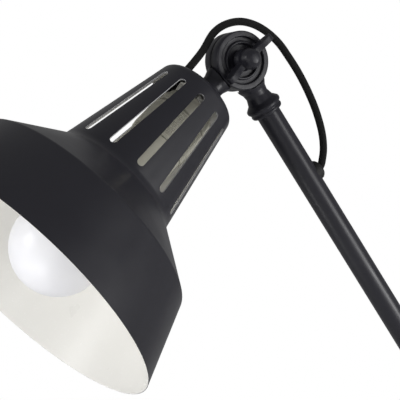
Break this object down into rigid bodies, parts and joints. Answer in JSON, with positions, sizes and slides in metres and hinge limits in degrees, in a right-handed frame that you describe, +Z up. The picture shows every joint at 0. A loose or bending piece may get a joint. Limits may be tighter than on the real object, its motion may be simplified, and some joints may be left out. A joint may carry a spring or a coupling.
{
  "type": "desk lamp",
  "caption": "Architect desk lamp: slotted bell shade on two tube arms with thumb-nut knuckles, a round weighted base and a braided flex.",
  "frame": {"origin": "centre of the base's felt underside, on the table", "axes": "+Z up; the arms and shade move in the XZ plane with the shade towards -X; every knuckle turns about Y, thumb nuts at -Y"},
  "size_m": [0.4578, 0.2944, 0.6931],
  "materials": {
    "satin_black_paint": "satin powder-coated black over spun and drawn steel",
    "white_enamel": "smooth white enamel inside the shade",
    "black_casting": "satin black paint over a smooth die casting",
    "black_rubber": "matt moulded rubber",
    "braided_flex": "fine black textile braid over a round flex",
    "black_plastic": "lightly textured moulded plastic",
    "blackened_steel": "blackened steel with worn edges",
    "zinc_plated_steel": "zinc-plated pressed steel",
    "brass": "drawn brass, nickel-washed on the pins",
    "cast_iron": "rough sand-cast iron",
    "grey_phenolic": "moulded grey-beige phenolic with fine ribs",
    "ceramic": "unglazed white steatite",
    "frosted_glass": "opal frosted glass",
    "nickel_bulb_cap": "nickel-plated screw cap",
    "fibre": "pressed fibre",
    "felt": "dense black felt"
  },
  "bodies": {
    "base": {"base_pad": "felt", "base_plate": "zinc_plated_steel", "base_weight": "cast_iron", "base_cover": "satin_black_paint", "base_washer": "zinc_plated_steel", "base_nut": "zinc_plated_steel", "base_stem_casting": "black_casting", "base_knuckle_bolt": "blackened_steel", "base_knuckle_friction_washer": "fibre", "base_knuckle_washer": "blackened_steel", "base_flex_bush": "black_rubber", "base_inner_flex": "braided_flex", "mains_strain_relief": "black_rubber", "mains_lead": "braided_flex", "mains_coil": "braided_flex", "coil_tie": "black_rubber", "mains_tail": "braided_flex", "plug_body": "black_plastic", "plug_pin_left": "brass", "plug_pin_right": "brass", "switch_top": "black_plastic", "switch_bottom": "black_plastic"},
    "lower_arm": {"base_knuckle_upper_casting": "black_casting", "lower_arm_tube": "satin_black_paint", "lower_arm_lower_bush": "black_rubber", "lower_arm_upper_bush": "black_rubber", "lower_arm_inner_flex": "braided_flex", "elbow_lower_casting": "black_casting", "elbow_bolt": "blackened_steel", "elbow_friction_washer": "fibre", "elbow_washer": "blackened_steel", "base_flex_loop": "braided_flex"},
    "upper_arm": {"elbow_upper_casting": "black_casting", "upper_arm_tube": "satin_black_paint", "upper_arm_lower_bush": "black_rubber", "upper_arm_upper_bush": "black_rubber", "upper_arm_inner_flex": "braided_flex", "head_lower_casting": "black_casting", "head_bolt": "blackened_steel", "head_friction_washer": "fibre", "head_washer": "blackened_steel", "elbow_flex_loop": "braided_flex"},
    "head": {"head_upper_casting": "black_casting", "shade": "satin_black_paint", "shade_flex_bush": "black_rubber", "shade_washer": "zinc_plated_steel", "shade_nut": "zinc_plated_steel", "lampholder_cap": "grey_phenolic", "lampholder_body": "grey_phenolic", "lampholder_insulator": "ceramic", "lampholder_screw_shell": "brass", "bulb_cap": "nickel_bulb_cap", "bulb_glass": "frosted_glass", "head_flex_loop": "braided_flex"},
    "base_knuckle_nut": {"base_knuckle_wing_nut": "black_casting"},
    "elbow_nut": {"elbow_wing_nut": "black_casting"},
    "head_nut": {"head_wing_nut": "black_casting"},
    "switch_key": {"switch_rocker": "black_plastic"}
  },
  "joints": [
    {"name": "base_tilt", "type": "hinge", "parent": "base", "child": "lower_arm", "pos_m": [0, 0, 0.076], "axis": [0, 1, 0], "range_deg": [-35, 25], "deforming": ["base_flex_loop"]},
    {"name": "elbow_tilt", "type": "hinge", "parent": "lower_arm", "child": "upper_arm", "pos_m": [0.12737, 0, 0.39124], "axis": [0, 1, 0], "range_deg": [-45, 35], "deforming": ["elbow_flex_loop"]},
    {"name": "head_tilt", "type": "hinge", "parent": "upper_arm", "child": "head", "pos_m": [-0.07416, 0, 0.66508], "axis": [0, 1, 0], "range_deg": [-22, 70], "deforming": ["head_flex_loop"]},
    {"name": "base_knuckle_nut_turn", "type": "hinge", "parent": "base", "child": "base_knuckle_nut", "pos_m": [0, -0.013, 0.076], "axis": [0, 1, 0], "range_deg": [-180, 180]},
    {"name": "elbow_nut_turn", "type": "hinge", "parent": "lower_arm", "child": "elbow_nut", "pos_m": [0.12737, -0.013, 0.39124], "axis": [0, 1, 0], "range_deg": [-180, 180]},
    {"name": "head_nut_turn", "type": "hinge", "parent": "upper_arm", "child": "head_nut", "pos_m": [-0.07416, -0.013, 0.66508], "axis": [0, 1, 0], "range_deg": [-180, 180]},
    {"name": "switch_rock", "type": "hinge", "parent": "base", "child": "switch_key", "pos_m": [0.15, 0.085, 0.016], "axis": [-0.9272, -0.3746, 0], "range_deg": [-16, 0]}
  ]
}
